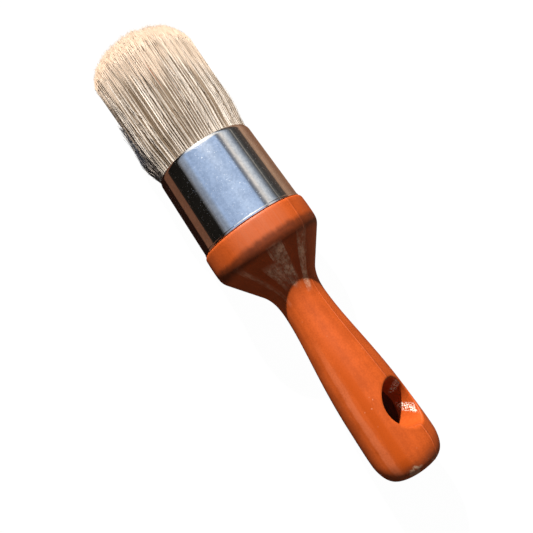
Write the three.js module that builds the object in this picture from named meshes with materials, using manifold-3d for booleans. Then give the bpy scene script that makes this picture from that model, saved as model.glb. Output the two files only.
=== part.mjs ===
// A round stencil brush: a one-piece moulded plastic handle with a hanging hole, a
// pressed steel ferrule, and a round bundle of natural bristle set in resin.
//
// Units are millimetres. The brush lies on its side along X: bristle tips at -X,
// butt of the handle at +X. Z = 0 is the surface that it lies on, and X = Y = 0 is
// the middle of its length and width.

import * as THREE from 'three';
import { mergeVertices } from 'three/addons/utils/BufferGeometryUtils.js';
import Module from 'manifold-3d';

const wasm = await Module();
wasm.setup();

// ---------------------------------------------------------------- driving sizes

const FERRULE_LENGTH = 36.2;
const FERRULE_HANDLE_RADIUS = 22.5;   // outside, at the rim against the handle
const FERRULE_BRISTLE_RADIUS = 21.7;  // outside, at the rim the bristles leave
const SHEET = 0.55;                   // thickness of the ferrule's steel
const LIP = 0.2;                      // how far the bead at the handle rim stands proud
const BEAD = 1.0;                     // length of that bead
const ROLL = 1.9;                     // length over which the bristle rim is rolled in

const HANDLE_LENGTH = 114;            // collar face to butt
const COLLAR_RADIUS = 23.6;
const COLLAR_LENGTH = 9.2;
const SPIGOT_RADIUS = 21.1;           // the end of the handle inside the ferrule
const SPIGOT_LENGTH = 11;
const NECK_RADIUS = 9.75;
const NECK_X = 37;                    // from the collar face
const GRIP_RADIUS = 14.3;
const GRIP_X = 100;
const BUTT_RADIUS = 7.8;              // flat face at the very end
const WALL = 3;

const HOLE_FROM_BUTT = 25.2;
const HOLE_LENGTH = 20.6;             // at the mouth, along the handle
const HOLE_WIDTH = 16.6;              // at the mouth, round the handle
const HOLE_DRAFT = 0.9;               // narrower by this at the parting plane, each side
const HOLE_ANGLE = Math.PI / 4;       // of the hole's axis from +Z towards +Y

const BRISTLE_LENGTH = 58.6;          // ferrule rim to the middle of the crown
const BRISTLE_RADIUS = 22.9;          // of the bundle outside the ferrule
const CROWN_HEIGHT = 16;
const CROWN_POWER = 2.2;              // 2 is an ellipse, higher is squarer
const RESIN_LENGTH = 11;
const SPACER_RADIUS = 7.2;
const SPACER_LENGTH = 16;

const RINGS = [                       // of bristle locks, from the outside in
  { name: 'outer', count: 18, inner: 15.6, outer: 30, stagger: 0.8 },
  { name: 'middle', count: 12, inner: 8.0, outer: 15.2, stagger: 0.5 },
];
const GAP = 0.35;                     // between neighbouring pieces
const SEGMENTS = 48;                  // round every turned shape

// ------------------------------------------------------------- derived positions

const TOTAL_LENGTH = BRISTLE_LENGTH + FERRULE_LENGTH + HANDLE_LENGTH;
const BUTT_X = TOTAL_LENGTH / 2;
const COLLAR_X = BUTT_X - HANDLE_LENGTH;
const RIM_X = COLLAR_X - FERRULE_LENGTH;
const TIP_X = RIM_X - BRISTLE_LENGTH;
const HOLE_X = BUTT_X - HOLE_FROM_BUTT;
const AXIS_Z = COLLAR_RADIUS * Math.cos(Math.PI / SEGMENTS);  // a facet lies on Z = 0

const SPIGOT_X = COLLAR_X - SPIGOT_LENGTH;
const RESIN_X = SPIGOT_X - GAP;       // handle side of the resin
const ROOT_X = RESIN_X - RESIN_LENGTH - GAP;
const CORE_X = ROOT_X - SPACER_LENGTH - GAP;

// ---------------------------------------------------------------------- materials

const plastic = new THREE.MeshStandardMaterial({ color: 0xd9622b, roughness: 0.45, metalness: 0 });
const steel = new THREE.MeshStandardMaterial({ color: 0xb9bcc2, roughness: 0.2, metalness: 1 });
const resin = new THREE.MeshStandardMaterial({ color: 0x5a4632, roughness: 0.35, metalness: 0 });
const wood = new THREE.MeshStandardMaterial({ color: 0xc49a6c, roughness: 0.8, metalness: 0 });
const bristle = new THREE.MeshStandardMaterial({ color: 0xe3d3bb, roughness: 0.8, metalness: 0 });

// -------------------------------------------------------------------- construction

/** Outline points (x along the brush, y its radius) of a path, without repeats. */
function outline(path, divisions = 6) {
  return path.getPoints(divisions).filter((p, i, all) => i === 0 || p.distanceTo(all[i - 1]) > 1e-4);
}

/** A solid turned about the X axis, with a facet square to Z at the bottom. */
function turned(points, segments = SEGMENTS) {
  const profile = points.map((p) => new THREE.Vector2(Math.max(p.y, 0), p.x));
  const geometry = new THREE.LatheGeometry(profile, segments, Math.PI / segments, Math.PI * 2);
  geometry.rotateZ(-Math.PI / 2);
  return geometry;
}

/** A geometry as a manifold solid, turned the right way out if need be. */
function solid(geometry) {
  const bare = geometry.clone();
  bare.deleteAttribute('normal');
  bare.deleteAttribute('uv');
  const merged = mergeVertices(bare, 1e-4);
  const vertProperties = Float32Array.from(merged.attributes.position.array);
  const triVerts = Uint32Array.from(merged.index.array);
  if (volume(vertProperties, triVerts) < 0) {
    for (let i = 0; i < triVerts.length; i += 3) {
      [triVerts[i + 1], triVerts[i + 2]] = [triVerts[i + 2], triVerts[i + 1]];
    }
  }
  return new wasm.Manifold(new wasm.Mesh({ numProp: 3, vertProperties, triVerts }));
}

/** Signed volume of a triangle mesh. */
function volume(vertices, triangles) {
  const [a, b, c] = [new THREE.Vector3(), new THREE.Vector3(), new THREE.Vector3()];
  let sum = 0;
  for (let i = 0; i < triangles.length; i += 3) {
    a.fromArray(vertices, triangles[i] * 3);
    b.fromArray(vertices, triangles[i + 1] * 3);
    c.fromArray(vertices, triangles[i + 2] * 3);
    sum += a.dot(b.cross(c)) / 6;
  }
  return sum;
}

/** A manifold solid as a BufferGeometry. */
function geometryOf(manifold) {
  const mesh = manifold.getMesh();
  const geometry = new THREE.BufferGeometry();
  geometry.setAttribute('position', new THREE.BufferAttribute(mesh.vertProperties, 3));
  geometry.setIndex(new THREE.BufferAttribute(mesh.triVerts, 1));
  return geometry;
}

function named(name, geometry, material) {
  const mesh = new THREE.Mesh(geometry, material);
  mesh.name = name;
  return mesh;
}

// -------------------------------------------------------------------------- handle

/** Turned outline of the handle, with its cored-out inside open at the spigot. */
function handleProfile() {
  const x = (fromCollar) => COLLAR_X + fromCollar;
  const coreEnd = x(NECK_X - 6);
  const path = new THREE.Path();
  path.moveTo(coreEnd, 0);
  path.quadraticCurveTo(coreEnd, NECK_RADIUS - WALL, x(24), NECK_RADIUS - WALL + 0.5);
  path.bezierCurveTo(x(20), 9, x(17), 14, x(8), 17.4);
  path.lineTo(SPIGOT_X, SPIGOT_RADIUS - WALL);
  path.lineTo(SPIGOT_X, SPIGOT_RADIUS - 0.8);
  path.lineTo(SPIGOT_X + 0.8, SPIGOT_RADIUS);
  path.lineTo(x(0), SPIGOT_RADIUS);
  path.lineTo(x(0), COLLAR_RADIUS - 0.9);
  path.quadraticCurveTo(x(0), COLLAR_RADIUS - 0.2, x(1.2), COLLAR_RADIUS - 0.1);
  path.quadraticCurveTo(x(5), COLLAR_RADIUS + 0.08, x(COLLAR_LENGTH), COLLAR_RADIUS - 0.05);
  path.bezierCurveTo(x(11.2), COLLAR_RADIUS - 0.15, x(12.3), 23, x(13.6), 22.05);
  path.lineTo(x(26), 12.6);
  path.bezierCurveTo(x(28.8), 10.5, x(32.5), NECK_RADIUS, x(NECK_X), NECK_RADIUS);
  path.bezierCurveTo(x(52), 9.9, x(66), 13.6, x(GRIP_X - 10), GRIP_RADIUS - 0.15);
  path.bezierCurveTo(x(GRIP_X - 3), GRIP_RADIUS + 0.1, x(102.5), GRIP_RADIUS + 0.25, x(105.5), 14.35);
  path.bezierCurveTo(x(110.2), 13.7, BUTT_X, 12.1, BUTT_X, BUTT_RADIUS);
  path.lineTo(BUTT_X, 0);
  return outline(path, 5);
}

/** The oval hanging hole, drafted both ways from the parting plane. */
function hangingHoleCutter() {
  const reach = 2 * GRIP_RADIUS;
  const mouth = HOLE_WIDTH / 2;
  const waist = mouth - HOLE_DRAFT;
  const flare = waist + (mouth - waist) * (reach / GRIP_RADIUS);
  const profile = [[0, -reach], [flare, -reach], [waist, 0], [flare, reach], [0, reach]];
  const cutter = new THREE.LatheGeometry(profile.map((p) => new THREE.Vector2(...p)), 32);
  cutter.rotateX(Math.PI / 2);
  cutter.scale(HOLE_LENGTH / HOLE_WIDTH, 1, 1);
  cutter.rotateX(-HOLE_ANGLE);
  cutter.translate(HOLE_X, 0, 0);
  return cutter;
}

function handle() {
  const body = solid(turned(handleProfile())).subtract(solid(hangingHoleCutter()));
  return named('handle', geometryOf(body), plastic);
}

// ------------------------------------------------------------------------- ferrule

/** Outside radius of the ferrule's plain tube at x. */
function ferruleRadius(x) {
  const share = (COLLAR_X - x) / FERRULE_LENGTH;
  return FERRULE_HANDLE_RADIUS + (FERRULE_BRISTLE_RADIUS - FERRULE_HANDLE_RADIUS) * share;
}

/** Tapered tube, its bristle rim rolled in and its handle rim rolled out into a small bead. */
function ferrule() {
  const start = RIM_X;
  const end = COLLAR_X - GAP;
  const front = ferruleRadius(start);
  const back = ferruleRadius(end);
  const path = new THREE.Path();
  path.moveTo(start + SHEET, front - SHEET);
  path.lineTo(end - SHEET, back - SHEET);
  path.quadraticCurveTo(end, back - SHEET, end, back);
  path.quadraticCurveTo(end, back + LIP, end - BEAD / 2, back + LIP);
  path.quadraticCurveTo(end - BEAD, back + LIP, end - BEAD, back);
  path.lineTo(start + ROLL, front);
  path.quadraticCurveTo(start, front, start, front - SHEET / 2);
  path.quadraticCurveTo(start, front - SHEET, start + SHEET, front - SHEET);
  return named('ferrule', turned(outline(path, 2).reverse()), steel);
}

// ------------------------------------------------- what the ferrule holds together

/** Disc of cast resin that binds the bristle roots and keys the bundle to the ferrule. */
function resinPlug() {
  const start = RESIN_X - RESIN_LENGTH;
  const inside = (x) => ferruleRadius(x) - SHEET - GAP;
  const path = new THREE.Path();
  path.moveTo(start, 0);
  path.lineTo(start, inside(start));
  path.lineTo(RESIN_X, inside(RESIN_X));
  path.lineTo(RESIN_X, 0);
  return named('resin_root_plug', turned(outline(path)), resin);
}

/** Round peg in the middle of the bundle, which spreads the bristle into a ring. */
function spacerPeg() {
  const start = ROOT_X - SPACER_LENGTH;
  const path = new THREE.Path();
  path.moveTo(start, 0);
  path.lineTo(start, SPACER_RADIUS - 1.5);
  path.quadraticCurveTo(start, SPACER_RADIUS, start + 2, SPACER_RADIUS);
  path.lineTo(ROOT_X, SPACER_RADIUS);
  path.lineTo(ROOT_X, 0);
  return named('spacer_peg', turned(outline(path, 4), 24), wood);
}

// ------------------------------------------------------------------------- bristles

/** Turned outline of the whole bristle bundle, its crown raised by `extra`. */
function bundleProfile(rootX, extra) {
  const gripped = FERRULE_BRISTLE_RADIUS - SHEET - GAP;
  const crownX = TIP_X + CROWN_HEIGHT;
  const path = new THREE.Path();
  path.moveTo(rootX, 0);
  path.lineTo(rootX, gripped);
  path.lineTo(RIM_X - 0.6, gripped);
  path.bezierCurveTo(RIM_X - 5, gripped + 0.7, RIM_X - 9, BRISTLE_RADIUS, RIM_X - 16, BRISTLE_RADIUS);
  path.lineTo(crownX, BRISTLE_RADIUS);
  const points = outline(path, 4);
  const steps = 8;
  for (let i = 1; i <= steps; i += 1) {
    const a = (i / steps) * (Math.PI / 2);
    const rise = (CROWN_HEIGHT - extra) * Math.sin(a) ** (2 / CROWN_POWER);
    const radius = i === steps ? 0 : BRISTLE_RADIUS * Math.cos(a) ** (2 / CROWN_POWER);
    points.push(new THREE.Vector2(crownX - rise, radius));
  }
  return points.reverse();
}

/** A long prism along X with the section of one lock of a ring. */
function lockPrism(inner, outer, from, to) {
  const shape = new THREE.Shape();
  const innerPad = GAP / 2 / inner;
  const outerPad = GAP / 2 / outer;
  shape.absarc(0, 0, outer, from + outerPad, to - outerPad, false);
  shape.absarc(0, 0, inner, to - innerPad, from + innerPad, true);
  shape.closePath();
  const prism = new THREE.ExtrudeGeometry(shape, { depth: TOTAL_LENGTH, bevelEnabled: false, curveSegments: 4 });
  prism.rotateY(Math.PI / 2);
  prism.translate(-BUTT_X - 1, 0, 0);
  return prism;
}

/** The locks of one ring, each cut from the bundle and a little uneven at the tip. */
function bristleRing(ring) {
  const step = (Math.PI * 2) / ring.count;
  return Array.from({ length: ring.count }, (_, i) => {
    const unevenness = ring.stagger * (0.5 + 0.5 * Math.sin(i * 2.4));
    const bundle = solid(turned(bundleProfile(ROOT_X, unevenness)));
    const lock = bundle.intersect(solid(lockPrism(ring.inner, ring.outer, i * step, (i + 1) * step)));
    const number = String(i + 1).padStart(2, '0');
    return named(`bristle_lock_${ring.name}_${number}`, geometryOf(lock), bristle);
  });
}

/** The lock in the middle of the bundle, which starts in front of the spacer peg. */
function bristleCore() {
  const radius = RINGS[RINGS.length - 1].inner - GAP;
  const shape = new THREE.Shape();
  shape.absarc(0, 0, radius, 0, Math.PI * 2, false);
  const prism = new THREE.ExtrudeGeometry(shape, { depth: TOTAL_LENGTH, bevelEnabled: false, curveSegments: 12 });
  prism.rotateY(Math.PI / 2);
  prism.translate(-BUTT_X - 1, 0, 0);
  const core = solid(turned(bundleProfile(CORE_X, 0))).intersect(solid(prism));
  return named('bristle_core', geometryOf(core), bristle);
}

// ------------------------------------------------------------------------- assembly

const brush = new THREE.Group();
brush.position.z = AXIS_Z;
brush.add(handle(), ferrule(), resinPlug(), spacerPeg(), bristleCore());
for (const ring of RINGS) brush.add(...bristleRing(ring));

export default brush;
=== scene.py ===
"""Looks of a round stencil brush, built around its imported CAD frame.

Lengths are metres in the frame: the brush lies along X, bristle tips at -X and the butt of
its handle at +X, on the floor at Z = 0. Angles round the brush run from +Z towards +Y.
Colours are linear.
"""

import math

import bmesh
import bpy
import numpy as np
from mathutils import Matrix, Vector


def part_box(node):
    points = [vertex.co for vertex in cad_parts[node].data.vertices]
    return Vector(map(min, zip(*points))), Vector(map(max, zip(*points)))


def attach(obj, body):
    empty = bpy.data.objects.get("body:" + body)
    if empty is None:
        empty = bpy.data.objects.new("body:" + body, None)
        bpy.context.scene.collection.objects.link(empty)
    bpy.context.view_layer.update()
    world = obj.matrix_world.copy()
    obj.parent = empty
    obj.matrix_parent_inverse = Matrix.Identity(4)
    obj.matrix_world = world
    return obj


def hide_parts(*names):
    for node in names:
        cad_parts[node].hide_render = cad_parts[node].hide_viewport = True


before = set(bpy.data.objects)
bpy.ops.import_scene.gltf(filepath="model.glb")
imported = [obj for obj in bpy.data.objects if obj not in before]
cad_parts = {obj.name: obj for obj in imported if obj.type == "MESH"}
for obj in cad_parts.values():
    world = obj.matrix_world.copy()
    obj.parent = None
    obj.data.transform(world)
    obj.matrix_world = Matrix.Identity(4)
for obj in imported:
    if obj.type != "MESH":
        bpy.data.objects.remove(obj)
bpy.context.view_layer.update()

MM = 0.001
TAU = 2 * math.pi

# ---------------- places from the frame

handle_low, handle_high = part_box("handle")
ferrule_low, ferrule_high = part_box("ferrule")
core_low, core_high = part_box("bristle_core")

GAP = 0.35 * MM
AXIS_Z = (ferrule_low.z + ferrule_high.z) / 2
COLLAR_X = ferrule_high.x + GAP
RIM_X = ferrule_low.x
BUTT_X = handle_high.x
SPIGOT_X = handle_low.x
TIP_X = core_low.x

# ---------------- sizes shared with the CAD

FERRULE_HANDLE_RADIUS = 22.5 * MM
FERRULE_BRISTLE_RADIUS = 21.7 * MM
SHEET = 0.55 * MM
LIP = 0.2 * MM
BEAD = 1.0 * MM
COLLAR_RADIUS = 23.6 * MM
SPIGOT_RADIUS = 21.1 * MM
NECK_RADIUS = 9.75 * MM
GRIP_RADIUS = 14.3 * MM
WALL = 3 * MM
HOLE_X = BUTT_X - 25.2 * MM
HOLE_LENGTH = 20.6 * MM
HOLE_WIDTH = 16.6 * MM
HOLE_DRAFT = 0.9 * MM
HOLE_ANGLE = math.pi / 4
BRISTLE_RADIUS = 22.6 * MM


# ---------------- mesh helpers


def link_object(name, data):
    """An object in the scene for a mesh, camera or light."""
    made = bpy.data.objects.new(name, data)
    bpy.context.scene.collection.objects.link(made)
    return made


def make_mesh(name, vertices, faces, smooth=True):
    """A mesh object from lists or arrays of vertices and faces."""
    mesh = bpy.data.meshes.new(name)
    mesh.from_pydata(np.asarray(vertices).tolist(), [], [list(map(int, f)) for f in faces])
    mesh.update()
    mesh.polygons.foreach_set("use_smooth", [smooth] * len(mesh.polygons))
    return link_object(name, mesh)


def clean(piece, merge=1e-6):
    """Merges doubled vertices and turns every face outwards."""
    bm = bmesh.new()
    bm.from_mesh(piece.data)
    bmesh.ops.remove_doubles(bm, verts=bm.verts, dist=merge)
    bmesh.ops.recalc_face_normals(bm, faces=bm.faces)
    bm.to_mesh(piece.data)
    bm.free()
    piece.data.update()


def cell(i, j, columns, rows=None):
    """Corners of a grid's cell. Columns close round, and rows do too where their count is given."""
    after = (i + 1) % rows if rows else i + 1
    right = (j + 1) % columns
    return i * columns + j, i * columns + right, after * columns + right, after * columns + j


def turn_from(start, angle):
    """Angle from start to another angle, within half a turn."""
    return (angle - start + math.pi) % TAU - math.pi


def radial(angle):
    """Unit vector out from the brush's axis."""
    return np.array([0.0, math.sin(angle), math.cos(angle)])


def tangent(angle):
    """Unit vector round the brush, towards larger angles."""
    return np.array([0.0, math.cos(angle), -math.sin(angle)])


def around(x, radius, angle):
    """Point at x along the brush, at a radius and angle round its axis."""
    return np.array([x, radius * math.sin(angle), AXIS_Z + radius * math.cos(angle)])


def bezier(points, steps):
    """Points of a Bezier curve of any degree after its first point."""
    found = []
    degree = len(points) - 1
    for i in range(1, steps + 1):
        t = i / steps
        weights = [math.comb(degree, k) * t**k * (1 - t) ** (degree - k) for k in range(degree + 1)]
        found.append(tuple(sum(w * p[axis] for w, p in zip(weights, points)) for axis in (0, 1)))
    return found


class Outline:
    """Outline of a turned shape: x along the brush and radius, drawn like a pen path."""

    def __init__(self, start):
        self.points = [start]

    def line(self, end, steps=1):
        self.points += bezier([self.points[-1], end], steps)
        return self

    def curve(self, *controls, steps=8):
        self.points += bezier([self.points[-1], *controls], steps)
        return self


# ---------------- handle


def handle_outline():
    """From the bottom of the cored-out inside, round the spigot and along to the butt."""

    def at(from_collar, radius):
        return COLLAR_X + from_collar * MM, radius

    collar, neck, grip = COLLAR_RADIUS, NECK_RADIUS, GRIP_RADIUS
    inside = Outline(at(31, 0))
    inside.curve(at(31, neck - WALL), at(24, neck - WALL + 0.5 * MM), steps=5)
    inside.curve(at(20, 9 * MM), at(17, 14 * MM), at(8, 17.4 * MM), steps=6)
    inside.line((SPIGOT_X, SPIGOT_RADIUS - WALL))
    inside.line((SPIGOT_X, SPIGOT_RADIUS - 0.8 * MM))
    inside.line((SPIGOT_X + 0.8 * MM, SPIGOT_RADIUS)).line(at(0, SPIGOT_RADIUS))
    outside = Outline(at(0, collar - 0.9 * MM))
    outside.curve(at(0, collar - 0.2 * MM), at(1.2, collar - 0.1 * MM), steps=5)
    outside.curve(at(5, collar + 0.08 * MM), at(9.2, collar - 0.05 * MM), steps=8)
    outside.curve(at(11.2, collar - 0.15 * MM), at(12.3, 23 * MM), at(13.6, 22.05 * MM), steps=16)
    outside.line(at(26, 12.6 * MM), steps=12)
    outside.curve(at(28.8, 10.5 * MM), at(32.5, neck), at(37, neck), steps=12)
    outside.curve(at(52, 9.9 * MM), at(66, 13.6 * MM), at(90, grip - 0.15 * MM), steps=46)
    outside.curve(at(97, grip + 0.1 * MM), at(102.5, grip + 0.25 * MM), at(105.5, 14.35 * MM), steps=12)
    butt = BUTT_X
    outside.curve(at(110.2, 13.7 * MM), (butt, 12.1 * MM), (butt, 7.8 * MM), steps=16)
    outside.line((butt, 0), steps=5)
    return inside.points, outside.points


SEAM_OFFSETS = {0: 0.17, 0.45: 0.14, 0.9: 0.01, 1.5: -0.05, 2.4: 0.0}  # degrees: height in mm
MOUTH_REACH = math.radians(64)  # half of the grid window that a mouth of the hole is set in
MOUTH_RUN = 15 * MM


def handle_angles():
    """Columns round the handle, with close ones along both parting seams."""
    near = sorted({sign * offset for offset in SEAM_OFFSETS for sign in (1, -1)})
    plain = [a for a in np.arange(-87.5, 90, 2.5) if abs(a) > max(SEAM_OFFSETS)]
    half = sorted(near + plain)
    degrees = [a for side in (0, 180) for a in (side + offset for offset in half)]
    return [HOLE_ANGLE + math.radians(a) for a in degrees]


def seam_height(angle):
    """How far the parting seam stands proud at an angle."""
    offset = abs(math.degrees((angle - HOLE_ANGLE + math.pi / 2) % math.pi - math.pi / 2))
    return float(np.interp(offset, list(SEAM_OFFSETS), list(SEAM_OFFSETS.values()))) * MM


def hole_half_width(height):
    """Half the hanging hole's width at a height above its parting plane."""
    waist = HOLE_WIDTH / 2 - HOLE_DRAFT
    return waist + HOLE_DRAFT * height / GRIP_RADIUS


def mouth_line(mouth_angle, x_start, offset_start, radius_at, edge=1.1 * MM):
    """Points from the edge of the grid window over the rounded rim down to the parting plane."""
    stretch = HOLE_LENGTH / HOLE_WIDTH
    turn = math.atan2(offset_start / MOUTH_REACH, (x_start - HOLE_X) / MOUTH_RUN)

    def place(x, across, height):
        side = across * tangent(mouth_angle) + height * radial(mouth_angle)
        return np.array([x, side[1], AXIS_Z + side[2]])

    def on_oval(half_width, height=None):
        x = HOLE_X + half_width * stretch * math.cos(turn)
        across = half_width * math.sin(turn)
        if height is None:
            height = math.sqrt(radius_at(x) ** 2 - across**2)
        return x, across, height

    height = GRIP_RADIUS
    for _ in range(4):
        height = on_oval(hole_half_width(height))[2]
    crisp = place(*on_oval(hole_half_width(height)))
    outer_x, outer_across, _ = on_oval(hole_half_width(height) + edge)
    outer_offset = math.asin(outer_across / radius_at(outer_x))
    seam = seam_height(mouth_angle + offset_start)
    points = []
    steps = 8
    for i in range(1, steps + 1):
        t = i / steps
        x = x_start + (outer_x - x_start) * t
        offset = offset_start + (outer_offset - offset_start) * t
        points.append(around(x, radius_at(x) + seam, mouth_angle + offset))
    start = points[-1]
    inner = place(*on_oval(hole_half_width(height - edge), height - edge))
    steps = 7
    for i in range(1, steps + 1):
        t = i / steps
        points.append((1 - t) ** 2 * start + 2 * t * (1 - t) * crisp + t**2 * inner)
    steps = 12
    for i in range(1, steps + 1):
        depth = (height - edge) * (1 - i / steps)
        points.append(place(*on_oval(hole_half_width(depth), depth)))
    return points


def build_handle():
    """The handle's grid round its outline, with a window for each mouth of the hanging hole."""
    inside, outside = handle_outline()
    rows = inside + outside
    angles = handle_angles()
    columns = len(angles)
    outside_x = [p[0] for p in outside[:-5]]
    outside_radius = [p[1] for p in outside[:-5]]

    def radius_at(x):
        return float(np.interp(x, outside_x, outside_radius))

    first_outside = len(inside)
    vertices = []
    for i, (x, radius) in enumerate(rows):
        for angle in angles:
            proud = seam_height(angle) if i >= first_outside and radius > 3 * MM else 0
            vertices.append(around(x, radius + proud, angle))

    window_rows = [i for i in range(first_outside, len(rows)) if abs(rows[i][0] - HOLE_X) <= MOUTH_RUN]
    low_row, high_row = window_rows[0], window_rows[-1]

    def window(mouth_angle):
        offsets = sorted((turn_from(mouth_angle, angle), j) for j, angle in enumerate(angles))
        return [j for offset, j in offsets if abs(offset) <= MOUTH_REACH]

    mouths = [(HOLE_ANGLE + side, window(HOLE_ANGLE + side)) for side in (0, math.pi)]
    open_cells = {(i, j) for i in range(low_row, high_row) for _, js in mouths for j in js[:-1]}
    cells = [(i, j) for i in range(len(rows) - 1) for j in range(columns)]
    faces = [cell(i, j, columns) for i, j in cells if (i, j) not in open_cells]

    for mouth_angle, js in mouths:
        ring = [(low_row, j) for j in js]
        ring += [(i, js[-1]) for i in range(low_row + 1, high_row)]
        ring += [(high_row, j) for j in reversed(js)]
        ring += [(i, js[0]) for i in range(high_row - 1, low_row, -1)]
        lines = []
        for i, j in ring:
            points = mouth_line(mouth_angle, rows[i][0], turn_from(mouth_angle, angles[j]), radius_at)
            base = len(vertices)
            vertices.extend(points)
            lines.append([i * columns + j, *range(base, base + len(points))])
        for a, b in zip(lines, lines[1:] + lines[:1]):
            faces += [(a[k], b[k], b[k + 1], a[k + 1]) for k in range(len(a) - 1)]

    piece = make_mesh("handle_body", vertices, faces)
    clean(piece)
    return piece


# ---------------- ferrule


def ferrule_radius(x):
    """Outside radius of the plain tube."""
    share = (COLLAR_X - x) / (COLLAR_X - RIM_X)
    return FERRULE_HANDLE_RADIUS + (FERRULE_BRISTLE_RADIUS - FERRULE_HANDLE_RADIUS) * share


def build_ferrule(columns=256):
    """Tapered tube, its bristle rim rolled in, its handle rim rolled out into a bead with a fine groove."""
    start, end = RIM_X, COLLAR_X - GAP
    front, back = ferrule_radius(start), ferrule_radius(end)
    proud, groove, lead, roll = LIP, 0.10 * MM, 0.7 * MM, 1.9 * MM
    path = Outline((start + SHEET, front - SHEET))
    path.line((end - SHEET, back - SHEET), steps=6)
    path.curve((end, back - SHEET), (end, back), steps=5)
    path.curve((end, back + proud), (end - BEAD / 2, back + proud), steps=6)
    path.curve((end - BEAD, back + proud), (end - BEAD, back - groove), steps=6)
    path.curve((end - BEAD - lead / 2, back), (end - BEAD - lead, back), steps=4)
    path.line((start + roll, front), steps=24)
    path.curve((start + 0.5 * roll, front), (start + 0.2 * roll, front - 0.3 * MM), steps=8)
    path.curve((start, front - 0.45 * MM), (start, front - SHEET), steps=5)
    path.curve((start, front - SHEET - 0.1 * MM), (start + SHEET, front - SHEET), steps=4)
    rows = path.points[:-1]
    angles = [TAU * j / columns for j in range(columns)]
    vertices = [around(x, radius, angle) for x, radius in rows for angle in angles]
    faces = [cell(i, j, columns, len(rows)) for i in range(len(rows)) for j in range(columns)]
    piece = make_mesh("ferrule_shell", vertices, faces)
    clean(piece)
    return piece


# ---------------- bristle

BRISTLE_ROOT_X = RIM_X + 4 * MM  # where modelled bristle starts, hidden inside the ferrule
GRIPPED_RADIUS = FERRULE_BRISTLE_RADIUS - SHEET - 0.1 * MM
SPREAD_RADIUS = 22.6 * MM
SPREAD_RUN = 14 * MM
TIP_SPREAD = 0.015  # more of its width that the bundle gains towards its tips
SIDE_LEAN = 0.35 * MM  # the bundle stands this far over to +Y once it has spread
CROWN_RISE = 12.8 * MM  # of the crown's edge from its top, plus or minus the next towards +Y and -Y
CROWN_SKEW = 2.6 * MM
CROWN_SQUARE = 2.8  # 2 makes the crown a half ball, more makes it flatter with a fuller edge
CROWN_INSET = 1.8 * MM  # from the CAD's tip to the crown's mean top, past which single tufts reach

LIGHT = np.array([0.77, 0.70, 0.635])
DARK = np.array([0.20, 0.135, 0.08])
BEIGE = np.array([0.69, 0.55, 0.435])
# Painted shade: the very ends of the bristles and the split ends are darker, to offset the key light that
# they face.
TIP_PAINTED_DARKER = np.array([0.455, 0.34, 0.255])
RUST = np.array([0.42, 0.16, 0.085])
STAIN = np.array([0.018, 0.019, 0.026])
STAIN_ANGLE = math.radians(-97)


def smooth_noise(rng, count):
    """A function of angle with random values from 0 to 1 at `count` knots, smooth and closed round."""
    knots = rng.uniform(0, 1, count)

    def value(angle):
        place = (np.asarray(angle) % TAU) / TAU * count
        low = np.floor(place).astype(int)
        t = place - low
        t = t * t * (3 - 2 * t)
        return knots[low % count] * (1 - t) + knots[(low + 1) % count] * t

    return value


def tuft_noise(rng, cell):
    """A function of y and z over the crown, from 0 to 1, smooth between random values a cell apart."""
    knots = rng.uniform(0, 1, (64, 64))

    def value(y, z):
        v, w = np.asarray(y) / cell + 32, np.asarray(z) / (2 * cell) + 32
        i, j = np.floor(v).astype(int) % 64, np.floor(w).astype(int) % 64
        s, t = v - np.floor(v), w - np.floor(w)
        s, t = s * s * (3 - 2 * s), t * t * (3 - 2 * t)
        low = knots[i, j] * (1 - s) + knots[(i + 1) % 64, j] * s
        high = knots[i, (j + 1) % 64] * (1 - s) + knots[(i + 1) % 64, (j + 1) % 64] * s
        return low * (1 - t) + high * t

    return value


def ease(value, low, high):
    """0 below low and 1 above high, smooth between."""
    t = np.clip((value - low) / (high - low), 0, 1)
    return t * t * (3 - 2 * t)


def crown_x(share, angle):
    """Where a bristle ends, for its share of the bundle's radius and its angle."""
    rise = CROWN_RISE + CROWN_SKEW * np.sin(angle)
    share = np.clip(share, 0, 1)
    return TIP_X + CROWN_INSET + rise * (1 - (1 - share**CROWN_SQUARE) ** 0.5)


FINE_TUFTS = tuft_noise(np.random.default_rng(31), 1.0 * MM)
BROAD_TUFTS = tuft_noise(np.random.default_rng(32), 2.8 * MM)


def tuft_reach(share, angle):
    """How far short of the crown's surface the tuft at a place ends."""
    y = GRIPPED_RADIUS * share * np.sin(angle)
    z = GRIPPED_RADIUS * share * np.cos(angle)
    calm = 1 - 0.6 * ease(share, 0.55, 0.9)
    return (2.1 * FINE_TUFTS(y, z) + 1.2 * BROAD_TUFTS(y, z) - 1.3) * calm * MM


def spread(x):
    """How much wider the bundle is at x than inside the ferrule."""
    out = RIM_X - x
    widened = (SPREAD_RADIUS / GRIPPED_RADIUS - 1) * ease(out, 0, SPREAD_RUN)
    return 1 + widened + TIP_SPREAD * ease(out, 30 * MM, 55 * MM)


def bundle_points(x, radius, angle):
    """Points at x, radius and angle in the bundle, which stands over a little to one side."""
    side = SIDE_LEAN * ease(RIM_X - x, 0, 2 * SPREAD_RUN)
    return np.stack([x, radius * np.sin(angle) + side, AXIS_Z + radius * np.cos(angle)], -1)


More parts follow.
